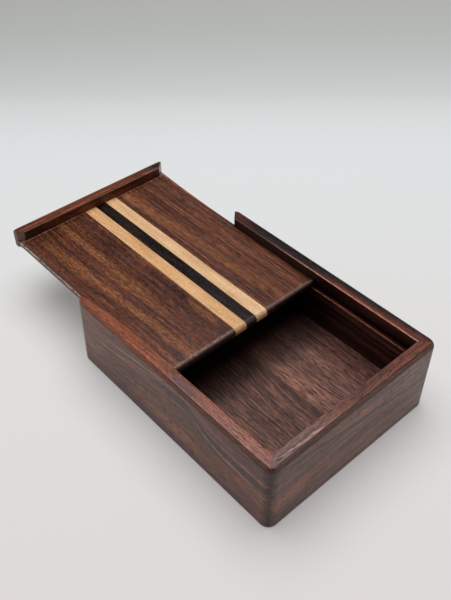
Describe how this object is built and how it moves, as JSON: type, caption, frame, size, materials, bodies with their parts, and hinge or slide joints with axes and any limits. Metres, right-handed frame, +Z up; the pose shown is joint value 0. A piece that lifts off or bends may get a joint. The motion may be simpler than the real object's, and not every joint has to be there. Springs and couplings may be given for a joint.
{
  "type": "sliding lid box",
  "caption": "Low rectangular hardwood keepsake box with mitred rounded walls and a striped laminated lid that slides in side grooves and carries a raised pull bar.",
  "frame": {"origin": "centre of the whole footprint with the lid half drawn out, on the plane that the box stands on", "axes": "-X the way the lid is drawn out, +Y to the left of someone who faces the pull bar, +Z up"},
  "size_m": [0.2746, 0.144, 0.057],
  "materials": {
    "wall_walnut": "oiled and waxed, semi-gloss",
    "floor_walnut": "oiled, satin",
    "lid_walnut": "oiled and waxed, semi-gloss",
    "maple": "oiled and waxed, semi-gloss",
    "ebony": "oiled and waxed, semi-gloss"
  },
  "bodies": {
    "box": {"right_side_wall": "wall_walnut", "left_side_wall": "wall_walnut", "back_wall": "wall_walnut", "front_wall": "wall_walnut", "floor_board_right": "floor_walnut", "floor_board_left": "floor_walnut"},
    "lid": {"lid_board_right": "lid_walnut", "lid_maple_right": "maple", "lid_ebony_strip": "ebony", "lid_maple_left": "maple", "lid_board_left": "lid_walnut", "pull_bar": "wall_walnut"}
  },
  "joints": [
    {"name": "lid_slide", "type": "slide", "parent": "box", "child": "lid", "axis": [-1, 0, 0], "range_m": [-0.0885, 0.0925]}
  ]
}
